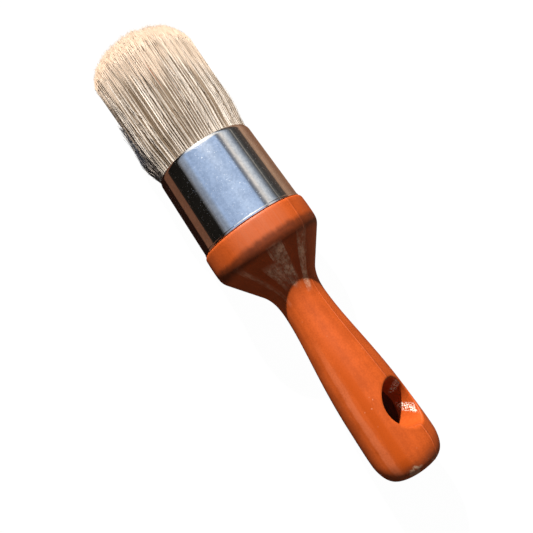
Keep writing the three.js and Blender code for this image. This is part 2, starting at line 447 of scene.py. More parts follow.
def build_tubes(name, centres, radii, colours, sides=3):
    """One mesh of closed tubes. centres: tube, ring, xyz. radii: tube, ring. colours: tube, ring, rgb."""
    tubes, rings, _ = centres.shape
    corner = np.arange(sides) * TAU / sides
    side_y = np.cos(corner)[None, None, :] * radii[:, :, None]
    side_z = np.sin(corner)[None, None, :] * radii[:, :, None]
    vertices = np.repeat(centres[:, :, None, :], sides, axis=2)
    vertices[..., 1] += side_y
    vertices[..., 2] += side_z
    per_tube = rings * sides
    i, k = np.meshgrid(np.arange(rings - 1), np.arange(sides), indexing="ij")
    nxt = (k + 1) % sides
    quads = np.stack(
        [i * sides + k, i * sides + nxt, (i + 1) * sides + nxt, (i + 1) * sides + k], -1
    ).reshape(-1, 4)
    start = (np.arange(tubes) * per_tube)[:, None, None]
    all_quads = (quads[None] + start).reshape(-1, 4)
    caps = np.stack([np.arange(sides)[::-1], per_tube - sides + np.arange(sides)])
    all_caps = (caps[None] + start).reshape(-1, sides)
    mesh = bpy.data.meshes.new(name)
    flat = vertices.reshape(-1, 3)
    mesh.vertices.add(len(flat))
    mesh.vertices.foreach_set("co", flat.astype(np.float32).ravel())
    loops = np.concatenate([all_quads.ravel(), all_caps.ravel()])
    mesh.loops.add(len(loops))
    mesh.loops.foreach_set("vertex_index", loops.astype(np.int32))
    sizes = np.concatenate([np.full(len(all_quads), 4), np.full(len(all_caps), sides)])
    mesh.polygons.add(len(sizes))
    mesh.polygons.foreach_set("loop_start", np.concatenate([[0], np.cumsum(sizes)[:-1]]).astype(np.int32))
    mesh.polygons.foreach_set("use_smooth", np.ones(len(sizes), bool))
    tint = mesh.attributes.new("tint", "FLOAT_COLOR", "POINT")
    tints = np.ones((tubes, rings, sides, 4), np.float32)
    tints[..., :3] = colours[:, :, None, :]
    tint.data.foreach_set("color", tints.ravel())
    atlas_uv(mesh, tubes, rings, sides)
    mesh.update(calc_edges=True)
    mesh.validate()
    return link_object(name, mesh)


def atlas_uv(mesh, tubes, rings, sides):
    """A map for baking, with a cell of its own for each tube, so that none overlap."""
    grid = math.ceil(math.sqrt(tubes))
    cell = 1 / grid
    corner = np.stack([np.arange(tubes) % grid, np.arange(tubes) // grid], -1) * cell
    i, k = np.meshgrid(np.arange(rings - 1), np.arange(sides), indexing="ij")
    low, high = i / (rings - 1), (i + 1) / (rings - 1)
    left, right = k / sides, (k + 1) / sides
    quad = np.stack([[left, low], [right, low], [right, high], [left, high]], 0)
    quad = np.moveaxis(quad, (0, 1), (2, 3)).reshape(-1, 2)
    across = np.linspace(0, 1, sides)
    cap = np.stack([np.tile(across, 2), np.repeat([0.0, 1.0], sides)], -1)
    margin = 0.12
    quad_uv = corner[:, None] + (margin / 2 + (1 - margin) * quad)[None] * cell
    cap_uv = corner[:, None] + (margin / 2 + (1 - margin) * cap)[None] * cell
    layer = mesh.uv_layers.new(name="OFBake")
    layer.data.foreach_set(
        "uv", np.concatenate([quad_uv.reshape(-1, 2), cap_uv.reshape(-1, 2)]).astype(np.float32).ravel()
    )


class LockRing:
    """One ring of locks: where each lies, how it leans, how far it stands out, and its shade."""

    def __init__(self, rng, width, share, shade):
        count = round(TAU * BRISTLE_RADIUS * share / width)
        widths = rng.lognormal(0, 0.45, count)
        self.share = share
        self.edges = np.concatenate([[0], np.cumsum(widths)]) / widths.sum() * TAU
        self.centre = (self.edges[:-1] + self.edges[1:]) / 2
        self.half = np.diff(self.edges) / 2
        group = smooth_noise(rng, 26)
        self.lean = rng.normal(0, 0.016, count) + 0.03 * (group(self.centre) - 0.5)
        self.lift = rng.normal(0, 0.10 * MM, count) + 0.3 * MM * (group(self.centre + 2) - 0.5)
        self.pale_run = (rng.uniform(16, 28, count) + 5 * np.sin(self.centre) + 80 * (0.985 - share)) * MM
        # Painted shade: the ring's shade darkens the deeper rings.
        self.shade = np.clip(rng.normal(0.85, 0.22, count), 0.2, 1) * shade
        self.cover = rng.uniform(0.62, 0.9, count)
        # How wide each lock's pale core is before its edges take painted shade.
        self.core = rng.uniform(0.15, 0.7, count)

    def find(self, angle):
        """Index of the lock that each angle falls in."""
        return np.clip(np.searchsorted(self.edges, angle % TAU) - 1, 0, len(self.centre) - 1)


def stain_at(angle, x):
    """How much dark paint is left at an angle and x: a patch low on one side."""
    offset = np.degrees(turn_from(STAIN_ANGLE, angle))
    out = (RIM_X - x) / MM
    wander = 4 * np.sin(out * 0.33) + 2.5 * np.sin(out * 0.9 + 1)
    width = np.clip(1.3 - np.abs(offset + wander) / 24, 0, 1)
    return width * ease(out, 4, 9) * (1 - ease(out, 22, 42))


def bristle_colours(rng, shade, angle, x, tip_x, pale_run=13 * MM):
    """Colour along each bristle: its shade, paler near the tip but darkened at the very end as painted
    shade, with the stain and a little rust.
    """
    count = len(shade)
    body = DARK + (LIGHT - DARK) * shade[:, :, None]
    pale_run = np.broadcast_to(pale_run, count)[:, None]
    from_tip = x - tip_x[:, None]
    near_tip = (1 - ease(from_tip, 0.45 * pale_run, 0.85 * pale_run))[:, :, None]
    # Painted shade: the last few millimetres darken to the tip colour, to offset the key light that the
    # ends face.
    end = (1 - ease(from_tip, 0.3 * MM, 4 * MM))[:, :, None]
    beige = BEIGE * rng.uniform(0.88, 1.05, (count, 1, 1))
    colour = body * (1 - near_tip) + (0.12 * body + 0.88 * beige) * near_tip
    colour = colour * (1 - end) + TIP_PAINTED_DARKER * rng.uniform(0.92, 1.08, (count, 1, 1)) * end
    rusty = rng.uniform(0, 1, count) < 0.012
    middle = rng.uniform(15, 48, (count, 1)) * MM
    rust = rusty[:, None] * np.exp(-(((RIM_X - x - middle) / (5 * MM)) ** 2)) * 0.7
    colour = colour * (1 - rust[:, :, None]) + RUST * rust[:, :, None]
    stain = (stain_at(angle, x) * rng.uniform(0.35, 1.1, (count, 1))).clip(0, 1)[:, :, None]
    paint = STAIN * rng.uniform(0.6, 5, (count, 1, 1))
    return colour * (1 - stain) + paint * stain


def lock_bristles(rng, name, ring, angle, thickness):
    """Strands of bristle in one ring of locks at given root angles, from their roots to the crown."""
    count = len(angle)
    lock = ring.find(angle)
    centre, half = ring.centre[lock][:, None], ring.half[lock][:, None]
    across = (angle[:, None] - centre) / half
    share = ring.share - rng.uniform(0, RING_DEPTH, count)
    tip_x = crown_x(share, angle) + np.abs(rng.normal(0, 0.3 * MM, count)) + tuft_reach(0.97, angle)
    t = np.linspace(0, 1, STRAND_RINGS)[None, :]
    x = BRISTLE_ROOT_X + (tip_x[:, None] - BRISTLE_ROOT_X) * t
    out = RIM_X - x
    pale_run = ring.pale_run[lock][:, None]
    gathered = ease(out, -4 * MM, 2 * MM) * ease((x - tip_x[:, None]) / pale_run, 0.4, 0.8)
    out_share = np.clip(out / (RIM_X - TIP_X), 0, 1)
    pinch = (1 - ring.cover[lock])[:, None] * gathered
    lean = ring.lean[lock][:, None] * out_share**1.2 * (0.2 + 0.8 * gathered)
    turned = centre + across * half * (1 - pinch) + lean
    turned = turned + rng.normal(0, 0.003, (count, 1)) * out_share + rng.normal(0, 0.006, (count, 1)) * t**4
    drop = (1 - np.sqrt(1 - 0.92 * across**2)) * half * BRISTLE_RADIUS * 0.5 * gathered
    lift = ring.lift[lock][:, None] * out_share * gathered - drop
    loose = rng.normal(0, 0.12 * MM, (count, 1)) * out_share
    radius = np.maximum(GRIPPED_RADIUS * share[:, None] * spread(x) + lift + loose, 0.05 * MM)
    size = thickness * rng.uniform(0.75, 1.25, (count, 1)) * (1 - 0.35 * t**12)
    shade = np.clip(ring.shade[lock] + rng.normal(0, 0.13, count), 0, 1)[:, None]
    # Painted shade: each lock keeps a pale core and its edges are darkened as if shaded in the gaps between
    # locks; the core is wider towards the root.
    core = ring.core[lock][:, None] + 0.2 * (1 - out_share) ** 2
    shade = shade * (1 - LOCK_EDGE_PAINTED_SHADE * ease(np.abs(across), core, core + 0.15) * gathered)
    colours = bristle_colours(rng, shade, turned, x, tip_x, ring.pale_run[lock])
    return build_tubes(name, bundle_points(x, radius, turned), size, colours, sides=5)


# Painted shade: the darkening of bristles at the edges of locks.
LOCK_EDGE_PAINTED_SHADE = 0.95  # how much of its shade a bristle at the edge of a lock loses
RING_DEPTH = 0.045  # share of the bundle's radius that the strands of one ring are spread over
STRAND_RINGS = 12  # of vertices along one strand

# Outermost first: share of the bundle's radius, width of a lock, strands in an arc, their radius, shade.
# The lower shade of the deeper rings is painted shade for the depth of the bundle.
RINGS = [
    (0.985, 1.35 * MM, 130, 0.19 * MM, 1.0),
    (0.95, 1.2 * MM, 150, 0.20 * MM, 0.35),
    (0.91, 1.3 * MM, 200, 0.20 * MM, 0.2),
]
ARCS = 6


def build_arcs():
    """The outer bristle in six arcs, each with its part of three rings of locks."""
    rng = np.random.default_rng(7)
    rings = []
    for share, width, strands, size, shade in RINGS:
        rings.append((LockRing(rng, width, share, shade), strands, size))
    arcs = []
    for arc in range(ARCS):
        layers = []
        for layer, (ring, strands, size) in enumerate(rings):
            rng = np.random.default_rng(100 + arc * len(rings) + layer)
            angle = (arc + (np.arange(strands) + rng.uniform(0, 1, strands)) / strands) * TAU / ARCS
            name = f"bristle_arc_{arc + 1}_layer_{layer + 1}"
            layers.append(lock_bristles(rng, name, ring, angle, size))
        arcs.append(layers)
    return arcs


CROWN_SHARE = 0.89  # of the bundle's radius, inside which no strand is modelled down to its root
CROWN_STRAND = 14 * MM  # how much of each strand inside the bundle is modelled


def build_crown():
    """Ends of the bristles inside the bundle, which only show on the crown."""
    rng = np.random.default_rng(211)
    count = 9500
    angle = rng.uniform(0, TAU, count)
    share = CROWN_SHARE * np.sqrt(rng.uniform(0, 1, count))
    tip_x = crown_x(share, angle) + np.abs(rng.normal(0, 0.25 * MM, count)) + tuft_reach(share, angle)
    rings = 4
    t = np.linspace(0, 1, rings)[None, :]
    x = tip_x[:, None] + CROWN_STRAND * (1 - t)
    radius = GRIPPED_RADIUS * share[:, None] * spread(x) + rng.normal(0, 0.3 * MM, (count, 1)) * t**2
    turned = angle[:, None] + np.zeros_like(x)
    size = 0.15 * MM * rng.uniform(0.8, 1.2, (count, 1)) * (1 - 0.3 * t**3)
    shade = rng.uniform(0.1, 0.9, (count, 1))
    colours = bristle_colours(rng, shade, turned, x, tip_x, 24 * MM)
    return build_tubes("bristle_crown", bundle_points(x, np.abs(radius), turned), size, colours)


def build_flags():
    """Fine split ends that fan out from the tips, their lower ends sunk among the strands."""
    rng = np.random.default_rng(307)
    count = 8500
    angle = rng.uniform(0, TAU, count)
    share = 1 - rng.uniform(0, 1, count) ** 1.15
    reach = crown_x(share, angle) + tuft_reach(share, angle) - np.abs(rng.normal(0, 0.35 * MM, count))
    rings = 4
    t = np.linspace(0, 1, rings)[None, :]
    length = rng.uniform(1.5, 5, count)
    x = reach[:, None] + length[:, None] * MM * (0.85 - t)
    sunk = 0.7 * MM * (1 - t) ** 0.7
    fanned = rng.normal(0, 0.30 * MM, (count, 1)) * t**1.5
    radius = np.abs(GRIPPED_RADIUS * share[:, None] * spread(x) + fanned - sunk)
    turned = angle[:, None] + rng.normal(0, 0.013, (count, 1)) * t**1.5
    size = 0.085 * MM * (1.1 - 0.8 * t) * rng.uniform(0.7, 1.3, (count, 1))
    # Painted shade: the split ends take the darkened tip colour, which offsets the key light they face.
    colours = np.ones((count, rings, 1)) * TIP_PAINTED_DARKER * rng.uniform(0.78, 1.02, (count, 1, 1))
    return build_tubes("bristle_flagged_tips", bundle_points(x, radius, turned), size, colours)


def build_strays():
    """Single hairs that lie across the others."""
    rng = np.random.default_rng(401)
    count = 90
    rings = 10
    t = np.linspace(0, 1, rings)[None, :]
    angle = rng.uniform(0, TAU, (count, 1))
    start = RIM_X - rng.uniform(0, 26, (count, 1)) * MM
    x = start - rng.uniform(10, 26, (count, 1)) * MM * t
    lean = rng.normal(0, 0.08, (count, 1))
    bow = rng.normal(0, 0.05, (count, 1))
    turned = angle + lean * t + bow * t * (1 - t) * 4
    radius = GRIPPED_RADIUS * spread(x) + (0.05 + 0.35 * rng.uniform(0, 1, (count, 1)) * t) * MM
    size = 0.075 * MM * (1 - 0.5 * t) * rng.uniform(0.7, 1.2, (count, 1))
    colours = np.ones((count, rings, 1)) * LIGHT * rng.uniform(0.8, 1.15, (count, 1, 1))
    return build_tubes("bristle_strays", bundle_points(x, radius, turned), size, colours)


def build_tuft():
    """Bent and broken hairs, matted with dark paint, which bulge out beside the ferrule's rim."""
    rng = np.random.default_rng(503)
    count = 620
    rings = 8
    t = np.linspace(0, 1, rings)[None, :]
    angle = STAIN_ANGLE + rng.normal(0, 0.22, (count, 1))
    start = RIM_X + rng.uniform(-3, 2, (count, 1)) * MM
    x = start - rng.uniform(5, 30, (count, 1)) * MM * t
    kink_size = rng.normal(0, 0.05, (count, 1))
    kink = kink_size * np.sin(t * rng.uniform(4, 9, (count, 1)) + rng.uniform(0, 6, (count, 1)))
    turned = angle + rng.normal(0, 0.09, (count, 1)) * t + kink
    out = (RIM_X - x) / MM
    bulge = 1.6 * np.exp(-(((out - 9) / 7) ** 2)) * rng.uniform(0, 1, (count, 1)) ** 1.8
    radius = GRIPPED_RADIUS * spread(x) + (bulge - 0.25) * MM
    radius = radius + np.abs(rng.normal(0, 0.6 * MM, (count, 1))) * t**2
    size = 0.10 * MM * (1 - 0.5 * t) * rng.uniform(0.7, 1.3, (count, 1))
    kind = rng.uniform(0, 1, (count, 1, 1))
    grey = np.array([0.16, 0.14, 0.13]) * rng.uniform(0.5, 1.8, (count, 1, 1))
    paint = STAIN * rng.uniform(0.5, 3.0, (count, 1, 1))
    painted = ease(out, 5, 11)[:, :, None]
    painted = np.where(kind < 0.75, painted, 0.25 * painted)
    bare = np.where(kind < 0.45, grey, np.where(kind < 0.8, 1.9 * grey, LIGHT * 0.7))
    colours = bare * (1 - painted) + paint * painted
    return build_tubes("bristle_stained_tuft", bundle_points(x, radius, turned), size, colours)


MASS_SHARE = 0.84  # of the bundle's radius
MASS_INSET = 3 * MM  # of its crown, from the crown of the modelled bristle


def build_under_bristle(columns=96):
    """Solid mass of the packed bristle under the modelled ones, which closes the gaps between them."""
    steps = 16
    shares = [math.sin(i / steps * math.pi / 2) * MASS_SHARE for i in range(steps, 0, -1)]
    side = [(x, MASS_SHARE) for x in np.linspace(BRISTLE_ROOT_X, TIP_X + CROWN_RISE, 24)]
    rows = [(BRISTLE_ROOT_X, 0.0), *side, *((None, share) for share in shares), (None, 0.0)]
    angles = np.arange(columns) * TAU / columns
    vertices = []
    for x, share in rows:
        reach = crown_x(share, angles) + MASS_INSET
        along = reach if x is None else np.maximum(np.full(columns, x), reach)
        vertices.append(bundle_points(along, GRIPPED_RADIUS * share * spread(along), angles))
    faces = [cell(i, j, columns) for i in range(len(rows) - 1) for j in range(columns)]
    piece = make_mesh("bristle_mass", np.concatenate(vertices), faces)
    clean(piece)
    return piece


# ---------------- material helpers


class Nodes:
    """A short way to write a node tree."""

    def __init__(self, tree):
        self.tree = tree

    def add(self, kind, inputs=None, **settings):
        node = self.tree.nodes.new("ShaderNode" + kind)
        for key, value in settings.items():
            setattr(node, key, value)
        for key, value in (inputs or {}).items():
            self.feed(node.inputs[key], value)
        return node

    def feed(self, socket, value):
        if isinstance(value, bpy.types.NodeSocket):
            self.tree.links.new(value, socket)
        else:
            socket.default_value = value

    def math(self, operation, a, b=0.0, c=0.0):
        node = self.add("Math", operation=operation)
        for socket, value in zip(node.inputs, (a, b, c)):
            self.feed(socket, value)
        return node.outputs[0]

    def plus(self, a, b):
        return self.math("ADD", a, b)

    def minus(self, a, b):
        return self.math("SUBTRACT", a, b)

    def over(self, a, b):
        return self.math("DIVIDE", a, b)

    def times(self, first, *factors):
        for factor in factors:
            first = self.math("MULTIPLY", first, factor)
        return first

    def place(self):
        return self.add("TexCoord").outputs["Object"]

    def noise(self, vector, scale, detail=3.0, roughness=0.55, distortion=0.0):
        values = {"Vector": vector, "Scale": scale, "Detail": detail}
        values.update({"Roughness": roughness, "Distortion": distortion})
        return self.add("TexNoise", values).outputs["Fac"]

    def smooth(self, value, low, high, to_low=0.0, to_high=1.0):
        values = {"Value": value, "From Min": low, "From Max": high, "To Min": to_low, "To Max": to_high}
        return self.add("MapRange", values, interpolation_type="SMOOTHSTEP").outputs["Result"]

    def split(self, vector):
        return self.add("SeparateXYZ", {"Vector": vector}).outputs

    def ramp(self, value, low, high, stops):
        node = self.add("ValToRGB", {"Fac": self.over(self.minus(value, low), high - low)})
        elements = node.color_ramp.elements
        while len(elements) < len(stops):
            elements.new(0.5)
        for element, (stop, colour) in zip(elements, stops):
            element.position = (stop - low) / (high - low)
            element.color = (*colour, 1)
        return node.outputs["Color"]

    def choose(self, factor, first, second):
        return self.add("MixShader", {0: factor, 1: first.outputs[0], 2: second.outputs[0]})

    def mix(self, factor, a, b):
        node = self.add("Mix", data_type="RGBA")
        self.feed(node.inputs["Factor"], factor)
        self.feed(node.inputs["A"], rgba(a))
        self.feed(node.inputs["B"], rgba(b))
        return node.outputs["Result"]

    def stretched(self, vector, scale):
        return self.add("Mapping", {"Vector": vector, "Scale": scale}).outputs[0]


def rgba(colour):
    """A colour given as three numbers, or a socket as it is."""
    if isinstance(colour, bpy.types.NodeSocket) or len(colour) == 4:
        return colour
    return (*colour, 1.0)


def new_material(name):
    """A material with a Principled shader and its node helper."""
    material = bpy.data.materials.new(name)
    material.use_nodes = True
    nodes = Nodes(material.node_tree)
    shader = material.node_tree.nodes["Principled BSDF"]
    return material, nodes, shader


def set_surface(n, shader, colour, roughness, relief, strength, depth):
    """Feeds a shader its colour, its roughness and a bump of a strength and a depth."""
    n.feed(shader.inputs["Base Color"], colour)
    n.feed(shader.inputs["Roughness"], roughness)
    bump = n.add("Bump", {"Height": relief, "Strength": strength, "Distance": depth})
    n.feed(shader.inputs["Normal"], bump.outputs[0])


class BrushPlace:
    """Where a shaded point lies: on the brush's length in mm, round it in degrees, and from its axis."""

    def __init__(self, n):
        self.where = n.place()
        x, y, z = n.split(self.where)
        z = n.minus(z, AXIS_Z)
        self.x = x
        self.from_collar = n.over(n.minus(x, COLLAR_X), MM)
        self.degrees = n.times(n.math("ARCTAN2", y, z), 180 / math.pi)
        self.radius = n.math("SQRT", n.plus(n.times(y, y), n.times(z, z)))
        self.side, self.up = n.over(y, self.radius), n.over(z, self.radius)
        self.wrapped = n.add("CombineXYZ", {"X": x, "Y": self.side, "Z": self.up}).outputs[0]


# ---------------- materials

ORANGE = (0.39, 0.0615, 0.007)
# Paler orange of the painted sheen strip on the grip.
SHEEN_ORANGE = (0.50, 0.125, 0.048)
DRIED_PAINT = [(0.44, 0.20, 0.115), (0.86, 0.54, 0.37)]
RUBBED_BARE = (0.80, 0.74, 0.66)
# Strokes of dried paint on the cone: degrees where each starts and ends, half its width in degrees,
# millimetres from the collar's face where it starts and ends, and how thick it is.
SMEARS = [
    (6, 9, 8, 12, 31, 0.95),
    (-12, -10, 8, 17, 30, 0.8),
    (42, 28, 5.5, 12, 35, 0.85),
    (-39, -31, 3.5, 11.5, 36, 0.32),
    (-37, -39, 6, 11, 15, 0.5),
    (150, 146, 10, 12, 33, 0.7),
    (-140, -136, 7, 13, 30, 0.6),
]


def band(n, value, centre, half, soft):
    """1 within half of centre, falling to 0 over soft beyond it."""
    away = n.math("ABSOLUTE", n.minus(value, centre))
    return n.smooth(away, half + soft, max(half - soft * 0.3, 0))


def smear_cover(n, at, speckle):
    """How thick the dried paint lies on the handle's cone, and how patchy its colour is."""
    streaks = n.noise(n.stretched(at.wrapped, (55, 14, 14)), 1, detail=6, roughness=0.7)
    patchy = n.noise(n.stretched(at.wrapped, (260, 7, 7)), 1, detail=5, roughness=0.7)
    ragged = n.plus(at.degrees, n.times(n.minus(streaks, 0.5), 22))
    paint = 0
    for start, end, half, low, high, amount in SMEARS:
        slope = (end - start) / (high - low)
        centre = n.math("MULTIPLY_ADD", at.from_collar, slope, start - slope * low)
        along = n.times(n.smooth(at.from_collar, low, low + 4), n.smooth(at.from_collar, high, high - 5))
        cover = n.times(band(n, ragged, centre, half, 3), along, amount)
        paint = n.math("MAXIMUM", paint, cover)
    broken = n.smooth(n.plus(streaks, n.times(patchy, 0.45)), 0.48, 0.80)
    return n.times(paint, broken, n.smooth(speckle, 0.40, 0.56, 0.35, 1.1)), patchy


def paint_collar_sheen(n, at, colour):
    """A painted sheen: a paler, pinker face on top of the collar, finely lined along the brush."""
    lines = n.noise(n.stretched(at.wrapped, (70, 60, 60)), 1, detail=2)
    lines = n.smooth(lines, 0.3, 0.65, 0.4, 0.95)
    # Painted sheen: the upper face of the collar is paler and pinker.
    face = n.times(n.smooth(at.from_collar, 13, 9), lines, band(n, at.degrees, 4, 22, 18))
    return n.mix(face, colour, (0.405, 0.092, 0.032))


def paint_grip_sheen(n, at, colour, mottle, tone):
    """A painted sheen as a paler strip along the grip, and a deeper coloured strip painted between the
    sheens.
    """
    on_grip = n.smooth(at.from_collar, 45, 75)
    # Painted sheen: a paler strip along the grip, and below it a deeper strip where no sheen is painted.
    sheen_strip = band(n, n.plus(at.degrees, n.times(mottle, 10)), -28.5, 5.5, 4)
    sheen_strip = n.times(sheen_strip, on_grip, n.smooth(tone, 0.3, 0.6, 0.25, 0.6))
    colour = n.mix(sheen_strip, colour, SHEEN_ORANGE)
    sheenless_streak = n.times(band(n, at.degrees, -13, 6, 5), on_grip, 0.9)
    return n.mix(sheenless_streak, colour, (0.35, 0.051, 0.002))


def line_seams(n, at, colour, streaks):
    """Both parting seams, each with a pale crest and a dark line beside it."""
    along = n.times(n.smooth(at.from_collar, 36, 60, 0.25, 1), n.smooth(at.from_collar, 109, 106))
    for seam in (45, -135):
        crest = n.times(band(n, at.degrees, seam, 0.7, 0.5), along, n.smooth(streaks, 0.35, 0.6, 0.1, 0.5))
        colour = n.mix(crest, colour, (0.60, 0.18, 0.085))
        beside = n.times(band(n, at.degrees, seam + 2.2, 0.8, 0.6), along, 0.4)
        colour = n.mix(beside, colour, (0.17, 0.03, 0.006))
    return colour


def paint_shoulder_shade(n, at, colour):
    """Painted shade where the collar turns into the cone, with a wavy, smudgy edge, kept off the underside.
    """
    breakup = n.noise(n.stretched(at.wrapped, (420, 7, 7)), 1, detail=6, roughness=0.72)
    wave = n.noise(n.stretched(at.wrapped, (40, 3.2, 3.2)), 1, detail=4, roughness=0.65)
    wavy = n.math("MULTIPLY_ADD", n.minus(wave, 0.5), 4, at.from_collar)
    # Painted shade: a dark band that moves the shading's edge up the shoulder.
    painted_shade = n.times(n.smooth(wavy, 7.3, 10), n.smooth(at.from_collar, 15, 12))
    painted_shade = n.times(painted_shade, band(n, at.degrees, 0, 80, 40), n.smooth(breakup, 0.36, 0.62, 0.80, 0.95))
    return n.mix(painted_shade, colour, (0.11, 0.020, 0.004))


def wear_butt(n, at, colour, mottle, grain, speckle):
    """The butt's dark scuffed ring and its rubbed beige patches. Also returns where it's scuffed."""
    worn = n.noise(at.where, 260, detail=6, roughness=0.7)
    ragged = n.plus(at.from_collar, n.times(n.minus(worn, 0.5), 7))
    scuff = n.times(n.smooth(ragged, 107, 110.5), n.smooth(mottle, 0.36, 0.56))
    colour = n.mix(n.times(scuff, 0.6), colour, (0.15, 0.036, 0.013))
    patch = n.noise(at.where, 170, detail=5, roughness=0.65)
    rubbed = n.times(n.smooth(ragged, 110.5, 112.2), n.smooth(patch, 0.54, 0.60), 0.6)
    colour = n.mix(rubbed, colour, n.mix(grain, (0.36, 0.20, 0.12), (0.62, 0.44, 0.31)))
    pale_patch = n.times(band(n, ragged, 111, 0.45, 0.6), band(n, at.degrees, -4, 8, 7))
    pale_patch = n.times(pale_patch, n.smooth(speckle, 0.42, 0.56, 0.1, 0.9))
    return n.mix(pale_patch, colour, (0.52, 0.35, 0.235)), scuff


def shade_and_wear_hole(n, at, colour):
    """Inside the hanging hole: painted shade below its parting plane, and colour rubbed off its walls
    above.
    """
    lean = n.times(n.plus(at.side, at.up), math.sin(HOLE_ANGLE))
    height = n.over(n.times(at.radius, lean), MM)
    hole_x = n.over(n.minus(at.x, HOLE_X), MM)
    inside = n.smooth(at.radius, GRIP_RADIUS - 0.9 * MM, GRIP_RADIUS - 1.5 * MM)
    inside = n.times(band(n, hole_x, 0, 10.6, 0.4), inside)
    # Painted shade: the wall below the parting plane, deep in the hole, is darkened.
    painted_deep_shade = n.times(inside, n.smooth(height, 2.2, 1.7), 0.82)
    colour = n.mix(painted_deep_shade, colour, (0.035, 0.006, 0.002))
    flecks = n.smooth(n.noise(at.where, 1500, detail=3, roughness=0.7), 0.49, 0.55)
    flecked = n.times(inside, flecks)
    slanted = n.math("MULTIPLY_ADD", height, -0.37, hole_x)
    near_rub = n.times(band(n, slanted, 1.5, 1.2, 0.8), flecked, n.smooth(height, 2.4, 4))
    colour = n.mix(near_rub, colour, RUBBED_BARE)
    far_slant = n.math("MULTIPLY_ADD", height, 0.48, hole_x)
    far_rub = n.times(band(n, far_slant, -1.1, 0.8, 0.8), flecked, n.smooth(height, 3, 5))
    return n.mix(n.times(far_rub, n.smooth(hole_x, -2.6, -3.8)), colour, RUBBED_BARE)


def handle_plastic():
    """Satin orange plastic: mottled and streaked, smeared with dried paint, scuffed at the butt, with
    painted sheen on the collar and grip and painted shade on the shoulder and deep in the hanging hole.
    """
    material, n, shader = new_material("handle_plastic")
    at = BrushPlace(n)
    mottle = n.noise(at.where, 120, detail=4)
    grain = n.noise(at.where, 1500, detail=2)
    speckle = n.noise(at.where, 520, detail=5, roughness=0.7)
    streaks = n.noise(n.stretched(at.wrapped, (9, 5, 5)), 1, detail=3)
    tone = n.plus(n.plus(n.times(mottle, 0.45), n.times(grain, 0.30)), n.times(streaks, 0.25))
    deep = tuple(c * 0.84 for c in ORANGE)
    light = (ORANGE[0] * 1.12, ORANGE[1] * 1.2, ORANGE[2] * 1.5)
    colour = n.mix(n.smooth(tone, 0.36, 0.64), deep, light)
    colour = paint_collar_sheen(n, at, colour)
    colour = paint_grip_sheen(n, at, colour, mottle, tone)
    colour = line_seams(n, at, colour, streaks)
    colour = paint_shoulder_shade(n, at, colour)
    paint, patchy = smear_cover(n, at, speckle)
    colour = n.mix(paint, colour, n.mix(n.smooth(patchy, 0.35, 0.65), *DRIED_PAINT))
    colour, scuff = wear_butt(n, at, colour, mottle, grain, speckle)

    chips = n.smooth(n.noise(at.where, 900, detail=1), 0.77, 0.79)
    colour = n.mix(n.times(chips, 0.35), colour, (0.60, 0.30, 0.19))
    dirt = n.smooth(n.noise(at.where, 620, detail=2, roughness=0.7), 0.72, 0.78)
    colour = n.mix(n.times(dirt, 0.35), colour, (0.16, 0.035, 0.012))
    colour = shade_and_wear_hole(n, at, colour)

    rough = n.plus(0.42, n.plus(n.times(grain, 0.16), n.times(paint, 0.3)))
    relief = n.plus(n.plus(n.times(grain, 0.5), n.times(mottle, 0.8)), n.times(paint, 0.5))
    relief = n.minus(n.minus(relief, n.times(dirt, 0.3)), n.times(scuff, 0.4))
    shader.inputs["Specular IOR Level"].default_value = 0.22
    set_surface(n, shader, colour, rough, relief, 0.4, 0.12 * MM)
    return material


def ferrule_steel():
    """Bright plated steel, polished round, with clouding, specks and fine scratches."""
    material, n, shader = new_material("ferrule_steel")
    at = BrushPlace(n)
    cloud = n.noise(at.where, 190, detail=5, roughness=0.65)
    drawn = n.noise(n.stretched(at.wrapped, (14, 42, 42)), 1, detail=3)
    specks = n.smooth(n.noise(at.where, 2600, detail=1), 0.70, 0.75)
    scratches = n.smooth(n.noise(n.stretched(at.wrapped, (2600, 16, 16)), 1, detail=2), 0.665, 0.72)
    marks = n.math("MAXIMUM", specks, n.times(scratches, 0.7))
    cloud = n.math("MULTIPLY_ADD", n.noise(at.where, 900, detail=3), 0.5, n.times(cloud, 0.5))
    colour = n.mix(n.smooth(cloud, 0.36, 0.64), (0.58, 0.59, 0.60), (0.76, 0.76, 0.75))
    colour = n.mix(n.times(marks, 0.6), colour, (0.88, 0.86, 0.83))
    rough = n.plus(0.03, n.plus(n.times(cloud, 0.05), n.times(marks, 0.35)))
    relief = n.plus(n.plus(drawn, n.times(cloud, 0.7)), n.times(marks, 0.5))
    shader.inputs["Metallic"].default_value = 1
    set_surface(n, shader, colour, rough, relief, 0.10, 0.06 * MM)
    return material


def bristle_hair():
    """Natural bristle: each hair's own shade, with faint bands along it."""
    material, n, shader = new_material("bristle_hair")
    tint = n.add("Attribute", attribute_name="tint", attribute_type="GEOMETRY").outputs["Color"]
    where = n.place()
    flecks = n.noise(n.stretched(where, (130, 1500, 1500)), 1, detail=3)
    darker = n.add("Mix", data_type="RGBA", blend_type="MULTIPLY")
    darker.inputs["Factor"].default_value = 1
    n.feed(darker.inputs["A"], tint)
    n.feed(darker.inputs["B"], n.mix(n.smooth(flecks, 0.3, 0.7), (0.80, 0.78, 0.74), (1.08, 1.08, 1.08)))
    colour = darker.outputs["Result"]
    shader.inputs["Specular IOR Level"].default_value = 0.35
    set_surface(n, shader, colour, n.plus(0.38, n.times(flecks, 0.2)), flecks, 0.2, 0.05 * MM)
    return material


